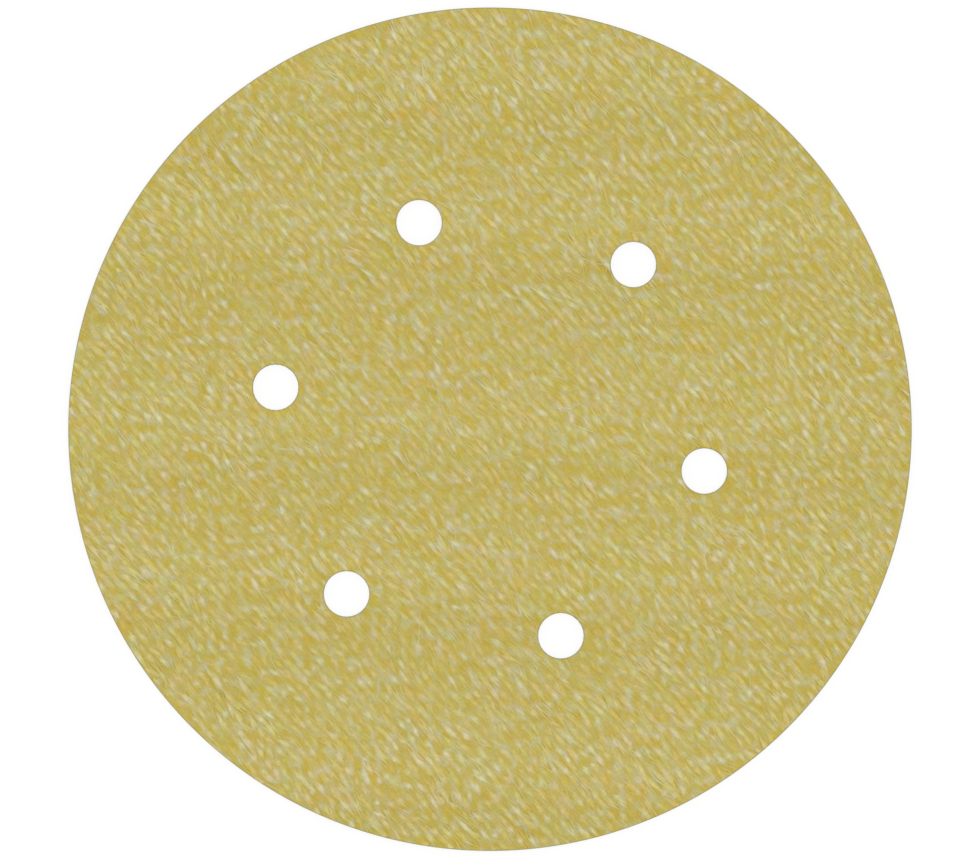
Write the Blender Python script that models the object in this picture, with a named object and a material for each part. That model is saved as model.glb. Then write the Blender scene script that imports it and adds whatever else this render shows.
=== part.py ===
"""Hook and loop sanding disc with six dust holes, lying on its abrasive side.

The disc is a laminate, die-cut in one stroke: a coat of abrasive grain in resin, the paper that
carries it, and a knitted loop cloth that grips the hooks of a sander's pad. The cloth's loops are
brushed over one way, and this nap is modelled as rows of low, leaning, lens-shaped loops.

Metres, +Z up. The origin is the centre of the abrasive face, which lies on the XY plane. One dust
hole lies on +X.
"""

import math
import random

import bmesh
import bpy
from mathutils import Matrix, Vector

MM = 0.001

# The die that cuts every layer
DISC_DIAMETER = 150.0 * MM
HOLE_DIAMETER = 8.1 * MM
HOLE_CIRCLE_DIAMETER = 77.7 * MM
HOLE_COUNT = 6
ROUNDNESS = 0.03 * MM  # the most that a chord may fall inside its arc

# The layers, from the abrasive face up
GRAIN_COAT_THICKNESS = 0.30 * MM
PAPER_THICKNESS = 0.25 * MM
GROUND_CLOTH_THICKNESS = 0.25 * MM
PILE_HEIGHT = 0.42 * MM
GLUE_LINE = 0.04 * MM  # the film between two layers, left open

# The brushed loops. Their rows lie as close as on the cloth, and each loop is drawn longer than life
NAP_ANGLE = math.radians(-38.0)  # the way the loops lie, from +X
LOOP_ROW_PITCH = 1.55 * MM
LOOP_LENGTH = 15.0 * MM
CREST_START = 0.32  # where a loop's crest begins and ends, as shares of the loop's length
CREST_END = 0.82
CREST_SPREAD = 0.3  # how far the crest's end spreads towards the loop's sides
BRUSHING = 0.22  # how unevenly the loops lie, as a share of their spacing
BRUSHING_SEED = 7

# Colour and gloss of each layer
NYLON_LOOP_COLOUR = (0.55, 0.46, 0.16, 1.0)
PAPER_COLOUR = (0.62, 0.46, 0.12, 1.0)
GRAIN_COLOUR = (0.48, 0.33, 0.12, 1.0)


def clear_scene():
    for thing in list(bpy.data.objects):
        bpy.data.objects.remove(thing, do_unlink=True)


def matt_material(name, colour, roughness):
    """A Principled surface with no metal in it."""
    material = bpy.data.materials.new(name)
    material.use_nodes = True
    shader = material.node_tree.nodes["Principled BSDF"]
    shader.inputs["Base Color"].default_value = colour
    shader.inputs["Roughness"].default_value = roughness
    shader.inputs["Metallic"].default_value = 0.0
    material.diffuse_color = colour
    return material


def add_object(name, bm, material=None):
    """The bmesh as a named object, with round walls shaded smooth and cut edges sharp."""
    bmesh.ops.recalc_face_normals(bm, faces=bm.faces)
    mesh = bpy.data.meshes.new(name)
    bm.to_mesh(mesh)
    bm.free()
    mesh.shade_smooth()
    mesh.set_sharp_from_angle(angle=math.radians(30.0))
    thing = bpy.data.objects.new(name, mesh)
    bpy.context.scene.collection.objects.link(thing)
    if material is not None:
        mesh.materials.append(material)
    return thing


def chords(radius):
    """Sides of the polygon that keeps a circle within ROUNDNESS, as a multiple of four."""
    half_chord_angle = math.acos(1.0 - ROUNDNESS / radius)
    return 4 * math.ceil(math.pi / half_chord_angle / 4.0)


def add_circle(bm, centre, radius):
    """A closed ring of edges on the plane of centre."""
    count = chords(radius)
    step = math.tau / count
    ring = [
        bm.verts.new(centre + Vector((math.cos(step * k), math.sin(step * k), 0.0)) * radius)
        for k in range(count)
    ]
    for k in range(count):
        bm.edges.new((ring[k - 1], ring[k]))


def hole_centres(height):
    """The centres of the dust holes at a height, the first one on +X."""
    for k in range(HOLE_COUNT):
        turn = Matrix.Rotation(math.tau * k / HOLE_COUNT, 4, "Z")
        yield turn @ Vector((HOLE_CIRCLE_DIAMETER / 2.0, 0.0, height))


def die_cut_blank(bottom, top):
    """A flat layer between two heights, cut to the disc's rim and its dust holes."""
    bm = bmesh.new()
    add_circle(bm, Vector((0.0, 0.0, bottom)), DISC_DIAMETER / 2.0)
    for centre in hole_centres(bottom):
        add_circle(bm, centre, HOLE_DIAMETER / 2.0)
    bmesh.ops.triangle_fill(bm, use_beauty=True, edges=bm.edges[:], normal=(0.0, 0.0, -1.0))
    raised = bmesh.ops.extrude_face_region(bm, geom=bm.faces[:])
    upper = [item for item in raised["geom"] if isinstance(item, bmesh.types.BMVert)]
    bmesh.ops.translate(bm, verts=upper, vec=(0.0, 0.0, top - bottom))
    return bm


def brushed_web(bottom, ground, crest):
    """A sheet of loop cloth, larger than the disc.

    The loops lie in a lattice of diamonds, so that each row is staggered by half a loop. Brushing
    has moved the lattice's points a little, always by the same seed.
    """
    brush = random.Random(BRUSHING_SEED)
    half_length = LOOP_LENGTH / 2.0
    reach = DISC_DIAMETER / 2.0 + LOOP_LENGTH
    rows = math.ceil(reach / LOOP_ROW_PITCH)
    steps = math.ceil(reach / half_length)
    lie = Matrix.Rotation(NAP_ANGLE, 4, "Z")
    bm = bmesh.new()

    points = {}
    for row in range(-rows - 1, rows + 2):
        for step in range(-steps - 1, steps + 2):
            if (row + step) % 2:
                along = (step + brush.uniform(-BRUSHING, BRUSHING)) * half_length
                across = (row + brush.uniform(-BRUSHING, BRUSHING)) * LOOP_ROW_PITCH
                points[row, step] = bm.verts.new(lie @ Vector((along, across, ground)))
    for row in range(-rows, rows + 1):
        for step in range(-steps, steps + 1):
            if not (row + step) % 2:
                corners = [points[row, step - 1], points[row - 1, step]]
                corners += [points[row, step + 1], points[row + 1, step]]
                add_loop(bm, corners, crest)
    bmesh.ops.delete(bm, geom=[v for v in bm.verts if not v.link_faces], context="VERTS")
    close_web(bm, bottom)
    return bm


def add_loop(bm, corners, crest):
    """One loop on the near, left, far and right corners of its diamond.

    Its flat crest is a narrow triangle that spreads down the nap, past the loop's middle, so the
    loop rises gently and ends in a short, steep bend.
    """
    near, left, far, right = corners
    tip = near.co.lerp(far.co, CREST_END)
    crest_points = [
        near.co.lerp(far.co, CREST_START),
        tip.lerp(left.co, CREST_SPREAD),
        tip.lerp(right.co, CREST_SPREAD),
    ]
    root, bend_left, bend_right = (bm.verts.new((p.x, p.y, crest)) for p in crest_points)
    for triangle in (
        (root, bend_left, bend_right),
        (near, left, root),
        (left, bend_left, root),
        (left, far, bend_left),
        (far, bend_right, bend_left),
        (far, right, bend_right),
        (right, root, bend_right),
        (right, near, root),
    ):
        bm.faces.new(triangle)


def close_web(bm, bottom):
    """Walls from the sheet's ragged border down to a flat underside."""
    border = [edge for edge in bm.edges if edge.is_boundary]
    walls = bmesh.ops.extrude_edge_only(bm, edges=border)["geom"]
    for item in walls:
        if isinstance(item, bmesh.types.BMVert):
            item.co.z = bottom
    hem = [item for item in walls if isinstance(item, bmesh.types.BMEdge) and item.is_boundary]
    bmesh.ops.contextual_create(bm, geom=hem)


def build_grain_coat():
    """Aluminium oxide grain set in resin, on the working side."""
    material = matt_material("grain_in_resin", GRAIN_COLOUR, 0.75)
    return add_object("grain_coat", die_cut_blank(0.0, GRAIN_COAT_THICKNESS), material)


def build_backing_paper():
    """The dyed paper that carries the grain."""
    bottom = GRAIN_COAT_THICKNESS + GLUE_LINE
    material = matt_material("dyed_paper", PAPER_COLOUR, 0.85)
    return add_object("backing_paper", die_cut_blank(bottom, bottom + PAPER_THICKNESS), material)


def build_loop_cloth():
    """The knitted nylon cloth with its brushed loops, cut by the same die as the paper."""
    bottom = GRAIN_COAT_THICKNESS + PAPER_THICKNESS + 2.0 * GLUE_LINE
    ground = bottom + GROUND_CLOTH_THICKNESS
    crest = ground + PILE_HEIGHT
    material = matt_material("nylon_loops", NYLON_LOOP_COLOUR, 0.6)
    cloth = add_object("loop_cloth", brushed_web(bottom, ground, crest), material)

    die = add_object("cutting_die", die_cut_blank(bottom - PILE_HEIGHT, crest + PILE_HEIGHT))
    die.hide_render = True
    die.display_type = "WIRE"
    cut = cloth.modifiers.new("die_cut", "BOOLEAN")
    cut.operation = "INTERSECT"
    cut.solver = "EXACT"
    cut.object = die
    return cloth


def build_disc():
    clear_scene()
    build_grain_coat()
    build_backing_paper()
    build_loop_cloth()


build_disc()
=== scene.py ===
import math

import bmesh
import bpy
import numpy as np
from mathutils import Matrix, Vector


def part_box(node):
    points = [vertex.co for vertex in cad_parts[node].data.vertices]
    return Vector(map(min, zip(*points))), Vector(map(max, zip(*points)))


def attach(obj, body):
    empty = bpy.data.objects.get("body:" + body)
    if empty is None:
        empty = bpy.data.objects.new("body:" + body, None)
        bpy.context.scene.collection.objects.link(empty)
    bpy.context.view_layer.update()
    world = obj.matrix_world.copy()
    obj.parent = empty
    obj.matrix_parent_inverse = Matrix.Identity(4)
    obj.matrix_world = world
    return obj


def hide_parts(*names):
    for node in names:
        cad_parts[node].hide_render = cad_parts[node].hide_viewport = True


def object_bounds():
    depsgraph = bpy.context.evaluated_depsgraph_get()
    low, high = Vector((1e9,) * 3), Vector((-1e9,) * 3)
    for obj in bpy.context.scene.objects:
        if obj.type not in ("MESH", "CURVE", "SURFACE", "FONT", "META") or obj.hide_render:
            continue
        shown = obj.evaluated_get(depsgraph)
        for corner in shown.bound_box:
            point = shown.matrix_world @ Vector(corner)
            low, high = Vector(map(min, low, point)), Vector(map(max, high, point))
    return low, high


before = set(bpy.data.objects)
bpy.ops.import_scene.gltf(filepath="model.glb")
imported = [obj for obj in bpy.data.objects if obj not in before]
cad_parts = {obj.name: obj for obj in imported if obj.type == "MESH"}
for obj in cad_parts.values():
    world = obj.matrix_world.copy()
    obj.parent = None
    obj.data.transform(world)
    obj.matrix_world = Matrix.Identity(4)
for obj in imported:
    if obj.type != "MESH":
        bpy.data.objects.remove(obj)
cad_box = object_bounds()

# Grain coat. Brown aluminium oxide grain, electrostatically cast into wet resin on the paper and
# locked by a second coat of resin. It is the working side, and lies face down. Grain of about
# 0.2 mm is drawn twice as coarse in the mesh, and its finer facets are left to the material.
MM = 0.001

HOLE_RADIUS = 4.05 * MM
HOLE_CIRCLE_RADIUS = 38.85 * MM
HOLE_COUNT = 6

GRAIN_SPACING = 0.5 * MM
GRAIN_SCATTER = 0.3  # how far a grain lies from its place in the net, as a share of the spacing
GRAIN_DEPTH = 0.16 * MM
GRAIN_HEIGHTS = (1.6, 1.2)  # the shape of the beta distribution of the grains' heights
GRAIN_FACET = 0.22 * MM
FACET_RELIEF = 0.08 * MM
GRAIN_PLACE_SEED = 11
GRAIN_HEIGHT_SEED = 12

TRIANGLE_HEIGHT = math.sqrt(0.75)  # of a net of even triangles, as a share of their sides
LEAST_REACH = 1e-9  # a point on a centre still needs a direction away from it

low, high = (Vector(corner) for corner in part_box("grain_coat"))
DISC_RADIUS = (high.x - low.x) / 2.0
HOLE_CENTRES = [
    (HOLE_CIRCLE_RADIUS * math.cos(angle), HOLE_CIRCLE_RADIUS * math.sin(angle))
    for angle in (math.tau * k / HOLE_COUNT for k in range(HOLE_COUNT))
]


def cut_edge_distance(x, y):
    """How far each point lies inside the nearest cut edge, and the unit direction away from it."""
    reach = np.maximum(np.hypot(x, y), LEAST_REACH)
    distance = DISC_RADIUS - reach
    away = np.stack([-x / reach, -y / reach], axis=-1)
    for centre_x, centre_y in HOLE_CENTRES:
        from_x, from_y = x - centre_x, y - centre_y
        reach = np.maximum(np.hypot(from_x, from_y), LEAST_REACH)
        nearer = reach - HOLE_RADIUS < distance
        distance = np.where(nearer, reach - HOLE_RADIUS, distance)
        away[nearer] = np.stack([from_x / reach, from_y / reach], axis=-1)[nearer]
    return distance, away


def die_cut_net(spacing, scatter=0.0, seed=0):
    """A triangle net over the disc, with its outer points moved onto the cut edges."""
    rows = math.ceil(DISC_RADIUS / (spacing * TRIANGLE_HEIGHT)) + 2
    columns = math.ceil(DISC_RADIUS / spacing) + 3
    row, column = np.mgrid[-rows : rows + 1, -columns : columns + 1]
    x = (column + 0.5 * (row % 2)) * spacing
    y = row * spacing * TRIANGLE_HEIGHT
    distance, away = cut_edge_distance(x, y)
    moved = np.random.default_rng(seed).uniform(-scatter, scatter, (2,) + x.shape) * spacing
    free = distance > spacing
    x, y = x + moved[0] * free, y + moved[1] * free
    shift = np.where(np.abs(distance) <= spacing / 2.0, distance, 0.0)
    x, y = x - shift * away[..., 0], y - shift * away[..., 1]
    inside = (distance >= -spacing / 2.0).ravel()

    number = np.arange(x.size).reshape(x.shape)
    corner, right = number[:-1, :-1], number[:-1, 1:]
    above, above_right = number[1:, :-1], number[1:, 1:]
    odd = (row[:-1, :-1] % 2).astype(bool)
    lower = np.stack([corner, right, np.where(odd, above_right, above)], axis=-1)
    upper = np.stack([np.where(odd, corner, right), above_right, above], axis=-1)
    triangles = np.concatenate([lower.reshape(-1, 3), upper.reshape(-1, 3)])
    triangles = triangles[inside[triangles].all(axis=1)]
    used, triangles = np.unique(triangles, return_inverse=True)
    return x.ravel()[used], y.ravel()[used], triangles.reshape(-1, 3)


def closed_sheet(name, x, y, z, triangles, back_height):
    """A closed sheet with its relief on one side and a flat back at back_height."""
    mesh = bpy.data.meshes.new(name)
    mesh.from_pydata(np.stack([x, y, z], axis=1).tolist(), [], triangles.tolist())
    bm = bmesh.new()
    bm.from_mesh(mesh)
    border = [edge for edge in bm.edges if edge.is_boundary]
    made = bmesh.ops.extrude_edge_only(bm, edges=border)["geom"]
    for item in made:
        if isinstance(item, bmesh.types.BMVert):
            item.co.z = back_height
    hem = [item for item in made if isinstance(item, bmesh.types.BMEdge) and item.is_boundary]
    bmesh.ops.triangle_fill(bm, use_beauty=False, edges=hem, normal=(0.0, 0.0, 1.0))
    bmesh.ops.recalc_face_normals(bm, faces=bm.faces)
    bm.to_mesh(mesh)
    bm.free()
    piece = bpy.data.objects.new(name, mesh)
    bpy.context.scene.collection.objects.link(piece)
    return piece


def set_attribute(mesh, name, values, kind="FLOAT"):
    """Stores a value or a vector at each point of a mesh, for its material to read."""
    layer = mesh.attributes.new(name, kind, "POINT")
    field = "vector" if kind == "FLOAT_VECTOR" else "value"
    layer.data.foreach_set(field, np.ravel(values).astype(np.float32))


def mesh_points(mesh):
    """The x, y and z of each point of a mesh."""
    flat = np.empty(len(mesh.vertices) * 3, np.float32)
    mesh.vertices.foreach_get("co", flat)
    return flat.reshape(-1, 3).astype(float).T


def linear(hex_colour):
    """An sRGB hex colour as linear red, green, blue and alpha."""
    levels = [int(hex_colour[i : i + 2], 16) / 255.0 for i in (1, 3, 5)]
    return tuple(v / 12.92 if v <= 0.04045 else ((v + 0.055) / 1.055) ** 2.4 for v in levels) + (1.0,)


def add_node(tree, kind, settings=None, inputs=None, stops=()):
    """Adds a node with its settings, its values or links, and the stops of a colour ramp."""
    node = tree.nodes.new("ShaderNode" + kind)
    for name, value in (settings or {}).items():
        setattr(node, name, value)
    for name, value in (inputs or {}).items():
        if isinstance(value, bpy.types.NodeSocket):
            tree.links.new(value, node.inputs[name])
        else:
            node.inputs[name].default_value = value
    for number, (place, colour) in enumerate(stops):
        if number >= len(node.color_ramp.elements):
            node.color_ramp.elements.new(place)
        node.color_ramp.elements[number].position = place
        node.color_ramp.elements[number].color = linear(colour)
    return node


def new_surface(name, sockets):
    """A material with its Principled shader, whose constant values are set on its sockets."""
    material = bpy.data.materials.new(name)
    material.use_nodes = True
    tree = material.node_tree
    shader = tree.nodes["Principled BSDF"]
    for socket, value in sockets.items():
        shader.inputs[socket].default_value = value
    return material, tree, shader


def resin_bonded_grain():
    """Cast grain under a size coat: amber facets that glint in a duller, yellow resin, with painted
    shade in the crevices between grains and on the low grains.
    """
    material, tree, shader = new_surface("resin_bonded_grain", {"IOR": 1.6})
    place = add_node(tree, "TexCoord").outputs["Object"]
    cells = {"Vector": place, "Scale": 1.0 / GRAIN_FACET}
    facets = add_node(tree, "TexVoronoi", {}, cells)
    seams = add_node(tree, "TexVoronoi", {"feature": "DISTANCE_TO_EDGE"}, cells)
    chance = add_node(tree, "SeparateColor", {}, {"Color": facets.outputs["Color"]})
    stops = [(0.0, "#9C7A40"), (0.35, "#BE9B50"), (0.75, "#D2B566"), (1.0, "#EBDCA6")]
    mineral = add_node(tree, "ValToRGB", {}, {"Fac": chance.outputs["Red"]}, stops)
    # The seams between grains are darker: partly the resin's own colour, partly painted shade in the
    # crevices.
    stops = [(0.0, "#A98F63"), (0.12, "#FFFFFF")]
    resin_and_crevice_shade = add_node(tree, "ValToRGB", {}, {"Fac": seams.outputs["Distance"]}, stops)
    # Painted shade on the low grains: the deeper a grain sits, the darker it is drawn.
    stops = [(0.1, "#B59C72"), (0.7, "#FFFFFF")]
    stand = add_node(tree, "Attribute", {"attribute_name": "stand"})
    painted_depth_shade = add_node(tree, "ValToRGB", {}, {"Fac": stand.outputs["Fac"]}, stops)
    colour = mineral.outputs["Color"]
    for shade in (resin_and_crevice_shade, painted_depth_shade):
        inputs = {"Fac": 1.0, "Color1": colour, "Color2": shade.outputs["Color"]}
        colour = add_node(tree, "MixRGB", {"blend_type": "MULTIPLY"}, inputs).outputs["Color"]
    inputs = {"Value": chance.outputs["Green"], "To Min": 0.25, "To Max": 0.7}
    rough = add_node(tree, "MapRange", {}, inputs)
    inputs = {"Strength": 0.7, "Distance": FACET_RELIEF, "Height": facets.outputs["Distance"]}
    bump = add_node(tree, "Bump", {}, inputs)
    tree.links.new(colour, shader.inputs["Base Color"])
    tree.links.new(rough.outputs["Result"], shader.inputs["Roughness"])
    tree.links.new(bump.outputs["Normal"], shader.inputs["Normal"])
    return material


x, y, triangles = die_cut_net(GRAIN_SPACING, GRAIN_SCATTER, GRAIN_PLACE_SEED)
stand = np.random.default_rng(GRAIN_HEIGHT_SEED).beta(*GRAIN_HEIGHTS, len(x))
z = low.z + GRAIN_DEPTH * (1.0 - stand)
grain = closed_sheet("grain_surface", x, y, z, triangles, high.z)
_, _, z = mesh_points(grain.data)
set_attribute(grain.data, "stand", 1.0 - (z - low.z) / GRAIN_DEPTH)
grain.data.materials.append(resin_bonded_grain())
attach(grain, "root")
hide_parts("grain_coat")


# Backing paper. A latex-filled paper of about 130 g per square metre, dyed through, which carries
# the grain and is laminated to the cloth. Only its die-cut edge shows, at the rim and in the holes.
PAPER_FIBRE_LENGTH = 1.5 * MM
PAPER_FIBRE_WIDTH = 0.04 * MM
PAPER_RELIEF = 0.03 * MM


def die_cut_paper():
    """Paper cut across its plies: matt, with pale and brown fibre ends in fine level streaks."""
    material, tree, shader = new_surface("die_cut_paper", {"Roughness": 0.88, "IOR": 1.47})
    place = add_node(tree, "TexCoord").outputs["Object"]
    streak = (1.0 / PAPER_FIBRE_LENGTH, 1.0 / PAPER_FIBRE_LENGTH, 1.0 / PAPER_FIBRE_WIDTH)
    drawn = add_node(tree, "Mapping", {}, {"Vector": place, "Scale": streak}).outputs["Vector"]
    inputs = {"Vector": drawn, "Scale": 1.0, "Detail": 3.0, "Roughness": 0.6}
    fibres = add_node(tree, "TexNoise", {}, inputs).outputs["Fac"]
    stops = [(0.3, "#A98C45"), (0.5, "#BFA557"), (0.7, "#D3BF7E")]
    colour = add_node(tree, "ValToRGB", {}, {"Fac": fibres}, stops)
    inputs = {"Strength": 0.5, "Distance": PAPER_RELIEF, "Height": fibres}
    bump = add_node(tree, "Bump", {}, inputs)
    tree.links.new(colour.outputs["Color"], shader.inputs["Base Color"])
    tree.links.new(bump.outputs["Normal"], shader.inputs["Normal"])
    return material


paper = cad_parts["backing_paper"]
paper.data.materials.clear()
paper.data.materials.append(die_cut_paper())


# Ground cloth. A warp-knitted nylon ground with a thin bed of flattened pile, dyed gold and
# laminated to the paper. It shows as deeper gold wherever the loops lie apart. The die has
# pressed a narrow border along each cut edge, and painted shade darkens the cut itself a little.
COURSE_ANGLE = math.radians(11.05)  # the way the knit's courses run, from +X
NAP_ANGLE = math.radians(-38.0)  # the way the pile is brushed, from +X
GROUND_THICKNESS = 0.25 * MM
GROUND_SPACING = 0.55 * MM
GROUND_SHARP_ANGLE = math.radians(50.0)
BED_LOW = 0.02 * MM
BED_SWELL = 0.1 * MM
BED_RELIEF = 0.1 * MM

# How thickly the pile covers the knit. A pattern is its weight, its direction, the length and
# width of its patches, its seed, and whether it is even.
COVER_LEVEL = 0.47
COVER_PATTERNS = (
    (0.47, COURSE_ANGLE, 1.305 * MM, 1.595 * MM, 21, True),
    (0.45, COURSE_ANGLE, 0.90625 * MM, 0.90625 * MM, 22, True),
    (0.2, COURSE_ANGLE + math.radians(6.0), 7.5 * MM, 1.25 * MM, 23, True),
    (0.06, COURSE_ANGLE + math.radians(30.0), 10.0 * MM, 4.0 * MM, 25, False),
)
PATCH_TABLE = 64  # a pattern repeats after this many patches

# Broad, faint bands along the courses, left by the napping rollers: the pile covers a little more in
# them, and the nap's lean in them is drawn as painted light and shade
BAND_START = 58.5 * MM
BAND_WIDTHS = (26.0 * MM, 36.0 * MM)
BAND_LOW, BAND_HIGH = 0.15, 0.9  # the duskiest and the palest place in a band, as shares of it
BAND_WANDER = 1.5 * MM
BAND_WANDER_SIZE = 12.0 * MM
BAND_SEED = 27
BAND_COVER = 0.04
BAND_PAINTED_SHADE = 0.024

# Partings, where the nap lies open along a bowed line, with a ridge beside it
PARTINGS = 90
PARTING_LENGTH = 11.0 * MM
PARTING_SHORTEST = 0.5  # as a share of the longest
PARTING_WIDTH = 0.35 * MM
PARTING_BOW = 2.5  # how far its ends bow aside, in widths
PARTING_RIDGE = 1.8  # the ridge's place beside it, in widths
PARTING_REACH = 4.0  # how far aside it is felt, in widths
PARTING_STRENGTHS = (0.3, 1.5)
PARTING_SEED = 26
PARTING_COVER = 0.6
PARTING_DEPTH = 0.15 * MM
PARTING_LIMITS = (-0.5, 1.5)

# The border that the die presses, the barer ring inside it, and the painted shade line on the cut
PRESSED_BORDER = 0.5 * MM
PRESSED_DEPTH = 0.08 * MM
BARE_RING = 1.6  # its place, in border widths
BARE_RING_COVER = 0.18
CUT_LINE = 0.3 * MM

# Shadows between filaments. Real filaments are 0.04 mm wide, which is too fine to show, so the
# strands are drawn half as wide again, and the fibres are locks of ten.
FIBRE_LENGTH = 1.3 * MM
FIBRE_WIDTH = 0.4 * MM
STRAND_LENGTH = 2.5 * MM
STRAND_WIDTH = 0.06 * MM
STRAND_RELIEF = 0.007 * MM
FUZZ_SIZE = 0.5 * MM
TINT_SIZE = 1.5 * MM
TINT_SEED = 24

cloth_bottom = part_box("loop_cloth")[0][2]
ground_height = cloth_bottom + GROUND_THICKNESS


def patches(x, y, length, width, seed, even=False):
    """Smooth random values from -1 to 1, in patches of about this length along x and width along y.

    Even patches are level over a wider area, so that they all come out of about one size.
    """
    table = np.random.default_rng(seed).uniform(-1.0, 1.0, (PATCH_TABLE, PATCH_TABLE))
    if even:
        steps = [(i, j) for i in (-1, 0, 1) for j in (-1, 0, 1)]
        table = table - sum(np.roll(table, step, (0, 1)) for step in steps) / len(steps)
    u, v = x / length, y / width
    i, j = np.floor(u).astype(int), np.floor(v).astype(int)
    fu, fv = (f * f * (3.0 - 2.0 * f) for f in (u - i, v - j))
    left, right, front, back = (n % PATCH_TABLE for n in (i, i + 1, j, j + 1))
    near = table[left, front] * (1.0 - fu) + table[right, front] * fu
    far = table[left, back] * (1.0 - fu) + table[right, back] * fu
    return near * (1.0 - fv) + far * fv


def turned(x, y, angle):
    """The points' places along and across a direction."""
    along = x * math.cos(angle) + y * math.sin(angle)
    across = y * math.cos(angle) - x * math.sin(angle)
    return along, across


def napped_bands(x, y):
    """The napping rollers' bands: each rises slowly from -1 to 1 and drops back."""
    along, across = turned(x, y, COURSE_ANGLE)
    wander = BAND_WANDER * patches(along, across, BAND_WANDER_SIZE, BAND_WANDER_SIZE, BAND_SEED)
    place = (BAND_START - across - wander) % sum(BAND_WIDTHS)
    first, second = BAND_WIDTHS
    share = np.where(place < first, place / first, (place - first) / second)
    return np.interp(share, (0.0, BAND_LOW, BAND_HIGH, 1.0), (0.0, -1.0, 1.0, 0.0))


def partings(x, y):
    """The partings in the nap: above 0 along each one, and below 0 on the ridge beside it."""
    rng = np.random.default_rng(PARTING_SEED)
    along, across = turned(x, y, NAP_ANGLE)
    relief = np.zeros_like(x)
    for _ in range(PARTINGS):
        middle_along, middle_across = rng.uniform(-DISC_RADIUS, DISC_RADIUS, 2)
        half = rng.uniform(PARTING_SHORTEST, 1.0) * PARTING_LENGTH / 2.0
        bow = PARTING_BOW * rng.normal()
        strength = rng.uniform(*PARTING_STRENGTHS)
        share = (along - middle_along) / half
        aside = (across - middle_across) / PARTING_WIDTH - bow * share**2
        near = (np.abs(share) < 1.0) & (np.abs(aside) < PARTING_REACH)
        share, aside = share[near], aside[near]
        profile = np.exp(-(aside**2)) - np.exp(-((aside - PARTING_RIDGE) ** 2))
        relief[near] += strength * (1.0 - share**2) * profile
    return relief


def pile_cover(x, y):
    """How thickly pile covers the knit, from 0, bare gold, to 1: blotches along the courses."""
    cover = COVER_LEVEL + BAND_COVER * napped_bands(x, y)
    for weight, angle, length, width, seed, even in COVER_PATTERNS:
        along, across = turned(x, y, angle)
        cover += weight * patches(along, across, length, width, seed, even)
    inside = np.maximum(cut_edge_distance(x, y)[0], 0.0)
    cover -= BARE_RING_COVER * np.exp(-((inside / PRESSED_BORDER - BARE_RING) ** 2))
    return cover - PARTING_COVER * partings(x, y)


def bed_height(x, y):
    """The bed's surface: it swells where the pile is thick, and is pressed along the cut edges."""
    inside = np.maximum(cut_edge_distance(x, y)[0], 0.0)
    pressed = PRESSED_DEPTH * np.exp(-((inside / PRESSED_BORDER) ** 2))
    swell = BED_SWELL * np.clip(pile_cover(x, y), 0.0, 1.0)
    groove = PARTING_DEPTH * np.clip(partings(x, y), *PARTING_LIMITS)
    return ground_height + BED_LOW + swell - pressed - groove


def cut_line(tree, place):
    """1 on a cut edge, falling to 0 within CUT_LINE of it."""
    level = add_node(tree, "VectorMath", {"operation": "MULTIPLY"}, {0: place, 1: (1.0, 1.0, 0.0)})
    level = level.outputs["Vector"]
    reach = add_node(tree, "VectorMath", {"operation": "LENGTH"}, {0: level}).outputs["Value"]
    inputs = {0: DISC_RADIUS, 1: reach}
    inside = add_node(tree, "Math", {"operation": "SUBTRACT"}, inputs).outputs["Value"]
    for centre in HOLE_CENTRES:
        inputs = {0: level, 1: (*centre, 0.0)}
        reach = add_node(tree, "VectorMath", {"operation": "DISTANCE"}, inputs).outputs["Value"]
        inputs = {0: reach, 1: HOLE_RADIUS}
        from_hole = add_node(tree, "Math", {"operation": "SUBTRACT"}, inputs).outputs["Value"]
        inputs = {0: inside, 1: from_hole}
        inside = add_node(tree, "Math", {"operation": "MINIMUM"}, inputs).outputs["Value"]
    inputs = {"Value": inside, "From Max": CUT_LINE, "To Min": 1.0, "To Max": 0.0}
    fall = add_node(tree, "MapRange", {"interpolation_type": "SMOOTHSTEP"}, inputs)
    return fall.outputs["Result"]


def combed_noise(tree, lie, length, width):
    """Noise drawn out along the fibres, for fibres of about this length and width.

    A streak fills about half a cell of the noise, so a cell is two fibres long and wide.
    """
    inputs = {"Vector": lie, "Scale": (length, width, width)}
    combed = add_node(tree, "Mapping", {"vector_type": "TEXTURE"}, inputs).outputs["Vector"]
    inputs = {"Vector": combed, "Scale": 0.5, "Detail": 1.0, "Distortion": 0.4}
    return add_node(tree, "TexNoise", {}, inputs).outputs["Fac"]


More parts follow.
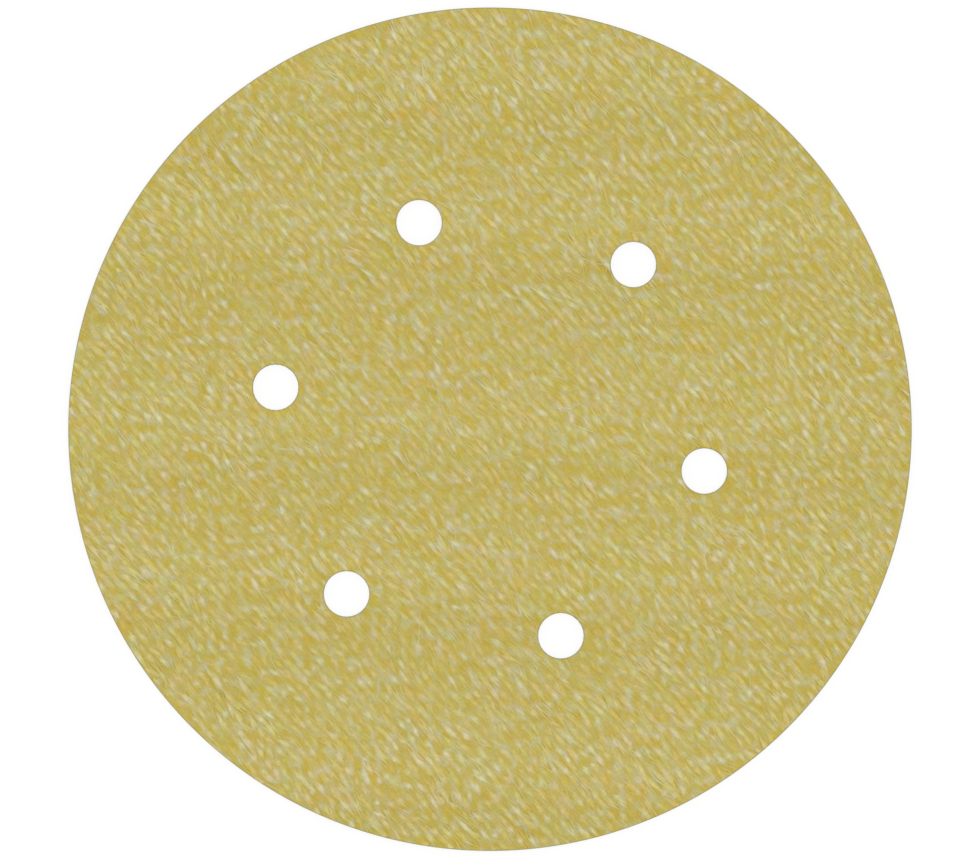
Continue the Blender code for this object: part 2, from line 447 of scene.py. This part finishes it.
def dyed_nylon(name, sockets, relief):
    """Piece-dyed nylon: gold where the pile is thin, duller where it covers; bends carry a painted
    highlight.

    The mesh's cover, bend, tint and band values drive it, so the bed and the loops meet in one
    colour. The bend value paints the highlight, which leaves the feet and the bed darker as painted
    shade, and the band value paints light and shade where the nap leans. Noise combed along their
    lie paints the shadows between the finer filaments on both, and painted shade darkens the cut
    edges.
    """
    material, tree, shader = new_surface(name, sockets)
    place = add_node(tree, "TexCoord").outputs["Object"]
    lie = add_node(tree, "Attribute", {"attribute_name": "lie"}).outputs["Vector"]
    cover, bend, tint, band = (
        add_node(tree, "Attribute", {"attribute_name": value}).outputs["Fac"]
        for value in ("cover", "bend", "tint", "band")
    )
    fibres = combed_noise(tree, lie, FIBRE_LENGTH, FIBRE_WIDTH)
    strands = combed_noise(tree, lie, STRAND_LENGTH, STRAND_WIDTH)
    inputs = {"Vector": place, "Scale": 1.0 / FUZZ_SIZE, "Detail": 1.0}
    fuzz = add_node(tree, "TexNoise", {}, inputs).outputs["Fac"]

    # The dyed root colour turns to a paler painted highlight as the bend value rises with height,
    # which leaves the feet and the bed darker as painted shade.
    stops = [(0.0, "#CDB33B"), (0.5, "#CAB75C"), (1.0, "#CEC38F")]
    root = add_node(tree, "ValToRGB", {}, {"Fac": cover}, stops).outputs["Color"]
    stops = [(0.0, "#F4E38C"), (0.5, "#F5E8A8"), (1.0, "#F7F1D0")]
    painted_crest_highlight = add_node(tree, "ValToRGB", {}, {"Fac": cover}, stops).outputs["Color"]
    inputs = {"Fac": bend, "Color1": root, "Color2": painted_crest_highlight}
    colour = add_node(tree, "MixRGB", {}, inputs).outputs["Color"]

    tinge = add_node(tree, "MapRange", {}, {"Value": tint, "From Min": -1.0}).outputs["Result"]
    # The tinge is the dye's own hue. The fibres, fuzz and strands ramps are painted shadows between
    # filaments.
    shades = []
    for value, stops in (
        (tinge, [(0.0, "#FFF9F8"), (1.0, "#F6FFF4")]),
        (fibres, [(0.25, "#F0F0F0"), (0.75, "#FFFFFF")]),
        (fuzz, [(0.3, "#F2F2F2"), (0.7, "#FFFFFF")]),
        (strands, [(0.3, "#F6F6F6"), (0.6, "#FFFFFF")]),
    ):
        shades.append(add_node(tree, "ValToRGB", {}, {"Fac": value}, stops).outputs["Color"])
    # Painted light and shade where the nap leans in the bands
    inputs = {"Value": band, "From Min": -1.0, "To Min": 1.0 - BAND_PAINTED_SHADE, "To Max": 1.0 + BAND_PAINTED_SHADE}
    shades.append(add_node(tree, "MapRange", {}, inputs).outputs["Result"])
    for shade in shades:
        inputs = {"Fac": 1.0, "Color1": colour, "Color2": shade}
        colour = add_node(tree, "MixRGB", {"blend_type": "MULTIPLY"}, inputs).outputs["Color"]

    # A thin greyish line of painted shade along each cut edge, broken up by the strands
    uneven_edge_shade = add_node(tree, "MapRange", {}, {"Value": strands, "From Min": 0.3, "To Min": 0.4})
    inputs = {0: cut_line(tree, place), 1: uneven_edge_shade.outputs["Result"]}
    edge_shade = add_node(tree, "Math", {"operation": "MULTIPLY"}, inputs).outputs["Value"]
    inputs = {"Fac": edge_shade, "Color1": colour, "Color2": linear("#7A8274")}
    colour = add_node(tree, "MixRGB", {}, inputs).outputs["Color"]

    locks = add_node(tree, "Bump", {}, {"Strength": 1.0, "Distance": relief, "Height": fibres})
    inputs = {"Distance": STRAND_RELIEF, "Height": strands, "Normal": locks.outputs["Normal"]}
    bump = add_node(tree, "Bump", {}, inputs)
    tree.links.new(colour, shader.inputs["Base Color"])
    tree.links.new(bump.outputs["Normal"], shader.inputs["Normal"])
    return material


x, y, triangles = die_cut_net(GROUND_SPACING)
knit = closed_sheet("knitted_ground", x, y, bed_height(x, y), triangles, cloth_bottom)
x, y, _ = mesh_points(knit.data)
along, across = turned(x, y, NAP_ANGLE)
set_attribute(knit.data, "cover", pile_cover(x, y))
set_attribute(knit.data, "band", napped_bands(x, y))
set_attribute(knit.data, "bend", np.zeros(len(x)))
set_attribute(knit.data, "tint", patches(x, y, TINT_SIZE, TINT_SIZE, TINT_SEED))
set_attribute(knit.data, "lie", np.stack([along, across, 0.0 * x], axis=-1), "FLOAT_VECTOR")
knit.data.materials.append(
    dyed_nylon(
        "dyed_nylon_knit",
        {"Roughness": 0.65, "IOR": 1.53, "Sheen Weight": 0.1, "Sheen Roughness": 0.5},
        BED_RELIEF,
    )
)
knit.data.shade_smooth()
knit.data.set_sharp_from_angle(angle=GROUND_SHARP_ANGLE)
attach(knit, "root")
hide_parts("loop_cloth")


# Brushed loops. Bundles of nylon filament, raised from the knit in rows and brushed over one way,
# so that the hooks of a sander's pad find them. A bundle carries a silvery painted highlight where
# it bends over, and its feet stay darker gold as painted shade. Filaments of 0.04 mm are drawn as
# fewer and coarser ones.
ROW_PITCH = 1.5 * MM
ROW_WANDER = 0.5 * MM
ROW_WANDER_SIZE = 6.0 * MM
ROW_SEEDS = (32, 33)
LOOP_PITCH = 2.6 * MM
LOOP_SCATTER = (0.45, 0.08)  # along and across the nap, as shares of the two pitches
LOOP_LENGTH = 3.7 * MM
LOOP_LENGTH_SPREAD = 0.28
LOOP_BREADTH = 0.86 * MM
LOOP_BREADTH_SHARES = (0.7, 1.3)
LOOP_LIFT = 0.29 * MM
LOOP_LIFT_SHARES = (0.8, 1.05)
LOOP_TINT_SPREAD = 0.25
LOOP_SEED = 31
LOOP_PIECES = 4
STRAYS = 2400  # single filaments, thrown over the square that holds the disc
# The strength of the painted highlight on the highest bend
PAINTED_BEND_HIGHLIGHT = 0.69  # how silvery the highest bend is

# The way the nap drifts from side to side
DRIFT_ANGLE = math.radians(11.0)
DRIFT_SIZE = 5.0 * MM
DRIFT_SEED = 34

# How full the loops stand: with the cover, in tufts, and a little more towards the rim
FULLNESS_LEAST = 0.62
FULLNESS_COVER = 0.28
FULLNESS_TUFTS = 0.2
FULLNESS_CENTRE = 0.9
FULLNESS_RIM = 0.2
TUFT_LENGTH = 4.5 * MM
TUFT_WIDTH = 3.0 * MM
TUFT_SEED = 35

# For a bundle, and for a stray filament
HEADING_SPREADS = (math.radians(6.5), math.radians(13.0))
CURL_SPREADS = (math.radians(20.0), math.radians(30.0))
LENGTH_SHARES = (1.0, 1.7)
LIFT_SHARES = (1.0, 0.6)

# The filaments of a bundle, which lie a little unevenly
FILAMENTS = 5
FILAMENT_WIDTH = 0.32 * MM
FILAMENT_WIDTH_SHARES = (0.85, 1.15)
FILAMENT_LENGTH_SHARES = (0.8, 1.1)
FILAMENT_HEADING_SPREAD = math.radians(4.0)
FILAMENT_CURL_SPREAD = math.radians(8.0)
FILAMENT_SLIP = 0.22 * MM
FILAMENT_TINT_SPREAD = 0.2
FILAMENT_NOISE_REACH = 20.0 * MM  # each filament takes its own slice of the combed noise
FILAMENT_RELIEF = 0.03 * MM
FILAMENT_SHARP_ANGLE = math.radians(75.0)
OUTER_DROP = 0.5  # how much lower the outer filaments of a bundle stand

# A filament's form. Its feet are narrower and closer to the bundle's middle than its crest.
STATIONS = 5  # from foot to foot
RISE_POWER = 1.3
FOOT_SPREAD = 0.6
FOOT_WIDTH = 0.5
CREST_RISE = 0.01 * MM  # of its middle edge above the arch
SIDE_DROP = 0.07 * MM  # of its two side edges below the arch
SIDE_SINK = 0.02 * MM  # the most that they sink into the bed
LEAST_BEND = 0.01  # radians: a straight filament is drawn as a very flat arc
MIDDLE_MARGIN = 0.1 * MM  # the least that its middle lies inside a cut edge
CUT_MARGIN = 0.08 * MM
CUT_STEPS = 24  # how finely the die's cut is found, on each half of a filament


def looped_rows(rng):
    """The middle of each loop: staggered rows across the nap, unevenly brushed."""
    reach = DISC_RADIUS + LOOP_LENGTH
    rows, columns = math.ceil(reach / ROW_PITCH), math.ceil(reach / LOOP_PITCH)
    row, column = np.mgrid[-rows : rows + 1, -columns : columns + 1].reshape(2, -1)
    uneven = rng.uniform(-1.0, 1.0, (2, row.size)) * np.reshape(LOOP_SCATTER, (2, 1))
    along = (column + 0.5 * (row % 2) + uneven[0]) * LOOP_PITCH
    across = (row + uneven[1]) * ROW_PITCH
    x, y = turned(along, across, -NAP_ANGLE)
    size = ROW_WANDER_SIZE
    wander = [ROW_WANDER * patches(x, y, size, size, seed) for seed in ROW_SEEDS]
    return x + wander[0], y + wander[1]


def fullness(x, y):
    """How full the loops stand, as a share of LOOP_LIFT."""
    full = FULLNESS_LEAST + FULLNESS_COVER * np.clip(pile_cover(x, y), 0.0, 1.0)
    along, across = turned(x, y, COURSE_ANGLE)
    full += FULLNESS_TUFTS * patches(along, across, TUFT_LENGTH, TUFT_WIDTH, TUFT_SEED)
    return full * (FULLNESS_CENTRE + FULLNESS_RIM * (x**2 + y**2) / DISC_RADIUS**2)


def brushed_filaments(rng):
    """Each filament's middle, heading, bend, length, lift, side, width, tint and slice of noise."""
    x, y = looped_rows(rng)
    loops = len(x)
    x = np.append(x, rng.uniform(-DISC_RADIUS, DISC_RADIUS, STRAYS))
    y = np.append(y, rng.uniform(-DISC_RADIUS, DISC_RADIUS, STRAYS))
    count = len(x)
    kind = (np.arange(count) >= loops).astype(int)
    heading = NAP_ANGLE + DRIFT_ANGLE * patches(x, y, DRIFT_SIZE, DRIFT_SIZE, DRIFT_SEED)
    heading += np.take(HEADING_SPREADS, kind) * rng.normal(size=count)
    curl = np.take(CURL_SPREADS, kind) * rng.normal(size=count)
    length = LOOP_LENGTH * np.exp(LOOP_LENGTH_SPREAD * rng.normal(size=count))
    length *= np.take(LENGTH_SHARES, kind)
    lift = LOOP_LIFT * fullness(x, y) * rng.uniform(*LOOP_LIFT_SHARES, count)
    lift = np.minimum(lift * np.take(LIFT_SHARES, kind), LOOP_LIFT)
    tint = patches(x, y, TINT_SIZE, TINT_SIZE, TINT_SEED)
    tint += LOOP_TINT_SPREAD * rng.uniform(-1.0, 1.0, count)

    bundle = np.repeat(np.arange(count), np.where(kind, 1, FILAMENTS))
    total = len(bundle)
    first = np.searchsorted(bundle, bundle)
    place = (np.arange(total) - first) * 2.0 / (FILAMENTS - 1) - 1.0
    place = np.where(kind[bundle], 0.0, place)
    breadth = LOOP_BREADTH * rng.uniform(*LOOP_BREADTH_SHARES, count)[bundle]
    heading = heading[bundle] + FILAMENT_HEADING_SPREAD * rng.normal(size=total)
    slip = FILAMENT_SLIP * rng.normal(size=total)
    filament = {
        "x": x[bundle] + slip * np.cos(heading),
        "y": y[bundle] + slip * np.sin(heading),
        "heading": heading,
        "bend": curl[bundle] + FILAMENT_CURL_SPREAD * rng.normal(size=total),
        "length": length[bundle] * rng.uniform(*FILAMENT_LENGTH_SHARES, total),
        "lift": lift[bundle] * (1.0 - OUTER_DROP * place**2),
        "side": place * breadth / 2.0,
        "width": FILAMENT_WIDTH * rng.uniform(*FILAMENT_WIDTH_SHARES, total),
        "tint": tint[bundle] + FILAMENT_TINT_SPREAD * rng.uniform(-1.0, 1.0, total),
        "slice": FILAMENT_NOISE_REACH * rng.uniform(-1.0, 1.0, total),
    }
    on_disc = cut_edge_distance(filament["x"], filament["y"])[0] > MIDDLE_MARGIN
    return {key: values[on_disc] for key, values in filament.items()}


def on_arc(filament, t):
    """Points and headings along each filament's arc, for t from 0 to 1."""
    bend = np.where(np.abs(filament["bend"]) < LEAST_BEND, LEAST_BEND, filament["bend"])[:, None]
    heading = filament["heading"][:, None]
    radius = filament["length"][:, None] / bend
    turn = heading + bend * (t - 0.5)
    x = filament["x"][:, None] + radius * (np.sin(turn) - np.sin(heading))
    y = filament["y"][:, None] - radius * (np.cos(turn) - np.cos(heading))
    return x, y, turn


def cut_span(filament):
    """The stretch of each filament that the die leaves on the disc, around its middle."""
    t = np.linspace(0.0, 1.0, 2 * CUT_STEPS + 1)[None, :]
    x, y, _ = on_arc(filament, t)
    inside = cut_edge_distance(x, y)[0] > CUT_MARGIN
    before = np.cumprod(inside[:, CUT_STEPS::-1], axis=1).sum(axis=1) - 1
    after = np.cumprod(inside[:, CUT_STEPS:], axis=1).sum(axis=1) - 1
    return 0.5 - before / (2.0 * CUT_STEPS), 0.5 + after / (2.0 * CUT_STEPS)


def trimmed(x, y):
    """Points that lie off the disc, brought back onto the cut edge."""
    distance, away = cut_edge_distance(x, y)
    off = np.minimum(distance, 0.0)
    return x - off * away[..., 0], y - off * away[..., 1]


def filament_mesh(name, filament):
    """Closed three-sided filaments, arched over the bed and spread most at the middle."""
    start, end = cut_span(filament)
    t = start[:, None] + (end - start)[:, None] * np.linspace(0.0, 1.0, STATIONS)
    x, y, turn = on_arc(filament, t)
    rise = np.clip(np.sin(np.pi * t), 0.0, 1.0) ** RISE_POWER
    aside = filament["side"][:, None] * (FOOT_SPREAD + (1.0 - FOOT_SPREAD) * rise)
    half = filament["width"][:, None] * (FOOT_WIDTH + (1.0 - FOOT_WIDTH) * rise) / 2.0
    arch = filament["lift"][:, None] * rise
    edges, heights, lies = [], [], []
    for side in (1.0, 0.0, -1.0):
        out = aside + side * half
        edge_x, edge_y = trimmed(x - np.sin(turn) * out, y + np.cos(turn) * out)
        height = np.maximum(arch - SIDE_DROP, -SIDE_SINK) if side else arch + CREST_RISE
        lie = (t * filament["length"][:, None], side * half, filament["slice"][:, None])
        edges.append(np.stack([edge_x, edge_y, bed_height(edge_x, edge_y) + height], axis=-1))
        heights.append(height)
        lies.append(np.stack(np.broadcast_arrays(*lie), axis=-1))
    points = np.stack(edges, axis=2)

    number = np.arange(x.size * 3).reshape(x.shape + (3,))
    after = np.roll(number, -1, axis=2)
    walls = np.stack([number[:, :-1], after[:, :-1], after[:, 1:], number[:, 1:]], axis=-1)
    caps = np.concatenate([number[:, 0, ::-1], number[:, -1]])
    corners = np.concatenate([walls.ravel(), caps.ravel()])
    wall_starts = np.arange(walls.size // 4) * 4
    cap_starts = walls.size + np.arange(caps.size // 3) * 3
    starts = np.concatenate([wall_starts, cap_starts])
    mesh = bpy.data.meshes.new(name)
    mesh.vertices.add(points.size // 3)
    mesh.vertices.foreach_set("co", points.astype(np.float32).ravel())
    mesh.loops.add(len(corners))
    mesh.loops.foreach_set("vertex_index", corners.astype(np.int32))
    mesh.polygons.add(len(starts))
    mesh.polygons.foreach_set("loop_start", starts.astype(np.int32))
    mesh.update(calc_edges=True)
    mesh.validate()
    mesh.shade_smooth()
    mesh.set_sharp_from_angle(angle=FILAMENT_SHARP_ANGLE)

    # The bend value: a painted highlight that grows with each edge's height over the bed
    bend = np.clip(np.stack(heights, axis=-1), 0.0, None) * PAINTED_BEND_HIGHLIGHT / LOOP_LIFT
    set_attribute(mesh, "cover", pile_cover(points[..., 0], points[..., 1]))
    set_attribute(mesh, "band", napped_bands(points[..., 0], points[..., 1]))
    set_attribute(mesh, "bend", bend)
    set_attribute(mesh, "tint", np.broadcast_to(filament["tint"][:, None, None], bend.shape))
    set_attribute(mesh, "lie", np.stack(lies, axis=2), "FLOAT_VECTOR")
    return mesh


filaments = brushed_filaments(np.random.default_rng(LOOP_SEED))
sector = np.floor((np.arctan2(filaments["y"], filaments["x"]) / math.tau + 0.5) * LOOP_PIECES)
brushed_nylon = dyed_nylon(
    "brushed_nylon_filament",
    {"Roughness": 0.55, "IOR": 1.53, "Sheen Weight": 0.1, "Sheen Roughness": 0.4},
    FILAMENT_RELIEF,
)
for number in range(LOOP_PIECES):
    chosen = {key: values[sector == number] for key, values in filaments.items()}
    mesh = filament_mesh(f"brushed_loops_{number + 1}", chosen)
    mesh.materials.append(brushed_nylon)
    loops = bpy.data.objects.new(mesh.name, mesh)
    bpy.context.scene.collection.objects.link(loops)
    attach(loops, "root")
    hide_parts("loop_cloth")


# The table, the light and the camera. The disc lies on plain white, under an even, soft light from
# all round, with a little more from one side. The camera looks straight down on it.
TABLE_SIZE = 20.0
TABLE_GAP = 0.02 * MM
TABLE_GLOW = 0.87  # the share of its own white that the camera sees, and the rest takes shadows
SKY_LEVEL = 1.0
LAMP_LEVEL = 0.15
LAMP_SOFTNESS = math.radians(50.0)
LAMP_DIRECTION = Vector((0.35, 0.25, 1.0))
PHOTO_WIDTH, PHOTO_HEIGHT = 977, 861
PHOTO_DISC_CENTRE = (489.99, 429.22)
PHOTO_DISC_RADIUS = 421.75
PHOTO_FIRST_HOLE_ANGLE = math.radians(-11.05)
LENS, SENSOR = 200.0, 36.0
FARTHEST_SEEN = 100.0


def white_table():
    """White laminate. From below it is clear to the camera, so that it doesn't hide the grain."""
    material = bpy.data.materials.new("white_laminate")
    material.use_nodes = True
    tree = material.node_tree
    tree.nodes.clear()
    white = linear("#FFFFFF")
    seen = add_node(tree, "LightPath").outputs["Is Camera Ray"]
    below = add_node(tree, "NewGeometry").outputs["Backfacing"]
    matt = add_node(tree, "BsdfDiffuse", {}, {"Color": white}).outputs["BSDF"]
    plain = add_node(tree, "Emission", {}, {"Color": white, "Strength": 1.0}).outputs["Emission"]
    clear = add_node(tree, "BsdfTransparent").outputs["BSDF"]
    glow, open_below = (
        add_node(tree, "Math", {"operation": "MULTIPLY"}, {0: seen, 1: share}).outputs["Value"]
        for share in (TABLE_GLOW, below)
    )
    top = add_node(tree, "MixShader", {}, {0: glow, 1: matt, 2: plain}).outputs["Shader"]
    both = add_node(tree, "MixShader", {}, {0: open_below, 1: top, 2: clear})
    add_node(tree, "OutputMaterial", {}, {"Surface": both.outputs["Shader"]})
    return material


def soft_sky():
    """An even white sky, which is both the light from all round and the background."""
    world = bpy.data.worlds.new("soft_sky")
    world.use_nodes = True
    tree = world.node_tree
    tree.nodes.clear()
    light = add_node(tree, "Background", {}, {"Color": linear("#FFFFFF"), "Strength": SKY_LEVEL})
    add_node(tree, "OutputWorld", {}, {"Surface": light.outputs["Background"]})
    return world


def flat_table():
    """One large square under the disc."""
    mesh = bpy.data.meshes.new("table")
    half = TABLE_SIZE / 2.0
    height = cad_box[0][2] - TABLE_GAP
    corners = [(-half, -half), (half, -half), (half, half), (-half, half)]
    mesh.from_pydata([(a, b, height) for a, b in corners], [], [(0, 1, 2, 3)])
    mesh.materials.append(white_table())
    return bpy.data.objects.new("table", mesh)


scene = bpy.context.scene
scene.world = soft_sky()
scene.view_settings.view_transform = "Standard"
table = flat_table()
scene.collection.objects.link(table)

lamp_data = bpy.data.lights.new("soft_lamp", "SUN")
lamp_data.energy = LAMP_LEVEL
lamp_data.angle = LAMP_SOFTNESS
lamp = bpy.data.objects.new("soft_lamp", lamp_data)
lamp.rotation_euler = LAMP_DIRECTION.to_track_quat("Z", "Y").to_euler()
scene.collection.objects.link(lamp)

metres_per_pixel = DISC_RADIUS / PHOTO_DISC_RADIUS
roll = -PHOTO_FIRST_HOLE_ANGLE
right = Vector((math.cos(roll), math.sin(roll), 0.0))
up = Vector((-math.sin(roll), math.cos(roll), 0.0))
offset_right = (PHOTO_WIDTH / 2.0 - PHOTO_DISC_CENTRE[0]) * metres_per_pixel
offset_up = (PHOTO_DISC_CENTRE[1] - PHOTO_HEIGHT / 2.0) * metres_per_pixel
distance = PHOTO_WIDTH * metres_per_pixel * LENS / SENSOR

camera_data = bpy.data.cameras.new("camera")
camera_data.lens = LENS
camera_data.sensor_width = SENSOR
camera_data.clip_end = FARTHEST_SEEN
camera = bpy.data.objects.new("camera", camera_data)
camera.location = right * offset_right + up * offset_up + Vector((0.0, 0.0, ground_height + distance))
camera.rotation_euler = (0.0, 0.0, roll)
scene.collection.objects.link(camera)
scene.camera = camera
